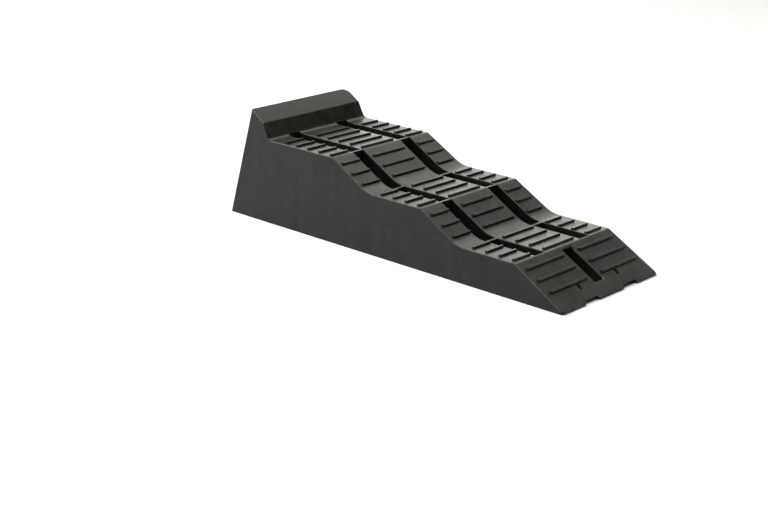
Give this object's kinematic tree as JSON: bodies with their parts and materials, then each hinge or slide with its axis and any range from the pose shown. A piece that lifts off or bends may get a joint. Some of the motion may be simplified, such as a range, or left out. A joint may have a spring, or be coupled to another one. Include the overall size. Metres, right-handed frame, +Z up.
{
  "type": "ramp leveler",
  "caption": "Stepped leveling ramp for a caravan wheel: a sloped nose, flat platforms with raised tread bars, drainage slots, a wheel stop and a hand recess in the rear wall.",
  "frame": {"origin": "on the ground, under the middle of the footprint", "axes": "+Z up, +X along the ramp from the tall rear wall to the low nose, Y across the ramp"},
  "size_m": [0.56, 0.2, 0.149],
  "materials": {
    "tread_plastic": "black polyethylene, satin, slightly scuffed on the tread",
    "wall_plastic": "black polyethylene, smooth satin as moulded",
    "rib_plastic": "black polyethylene, plain inner face as moulded"
  },
  "bodies": {
    "root": {"crest_1_rib": "rib_plastic", "crest_2_rib": "rib_plastic", "crest_3_rib": "rib_plastic", "entry_rib_left": "rib_plastic", "entry_rib_right": "rib_plastic", "entry_slope": "tread_plastic", "left_side_wall": "wall_plastic", "platform_1_centre": "tread_plastic", "platform_1_left": "tread_plastic", "platform_1_rib_left_inner": "rib_plastic", "platform_1_rib_left_outer": "rib_plastic", "platform_1_rib_right_inner": "rib_plastic", "platform_1_rib_right_outer": "rib_plastic", "platform_1_right": "tread_plastic", "platform_2_centre": "tread_plastic", "platform_2_left": "tread_plastic", "platform_2_rib_left_inner": "rib_plastic", "platform_2_rib_left_outer": "rib_plastic", "platform_2_rib_right_inner": "rib_plastic", "platform_2_rib_right_outer": "rib_plastic", "platform_2_right": "tread_plastic", "platform_3_centre": "tread_plastic", "platform_3_left": "tread_plastic", "platform_3_rib_left_inner": "rib_plastic", "platform_3_rib_left_outer": "rib_plastic", "platform_3_rib_right_inner": "rib_plastic", "platform_3_rib_right_outer": "rib_plastic", "platform_3_right": "tread_plastic", "rear_wall": "wall_plastic", "recess_wall_left": "rib_plastic", "recess_wall_right": "rib_plastic", "right_side_wall": "wall_plastic", "step_2_centre": "tread_plastic", "step_2_left": "tread_plastic", "step_2_rib_left_inner": "rib_plastic", "step_2_rib_left_outer": "rib_plastic", "step_2_rib_right_inner": "rib_plastic", "step_2_rib_right_outer": "rib_plastic", "step_2_right": "tread_plastic", "step_3_centre": "tread_plastic", "step_3_left": "tread_plastic", "step_3_rib_left_inner": "rib_plastic", "step_3_rib_left_outer": "rib_plastic", "step_3_rib_right_inner": "rib_plastic", "step_3_rib_right_outer": "rib_plastic", "step_3_right": "tread_plastic", "stop_face": "tread_plastic", "stop_rib": "rib_plastic", "stop_top": "tread_plastic", "valley_1_rib": "rib_plastic", "valley_2_rib": "rib_plastic"}
  },
  "joints": []
}
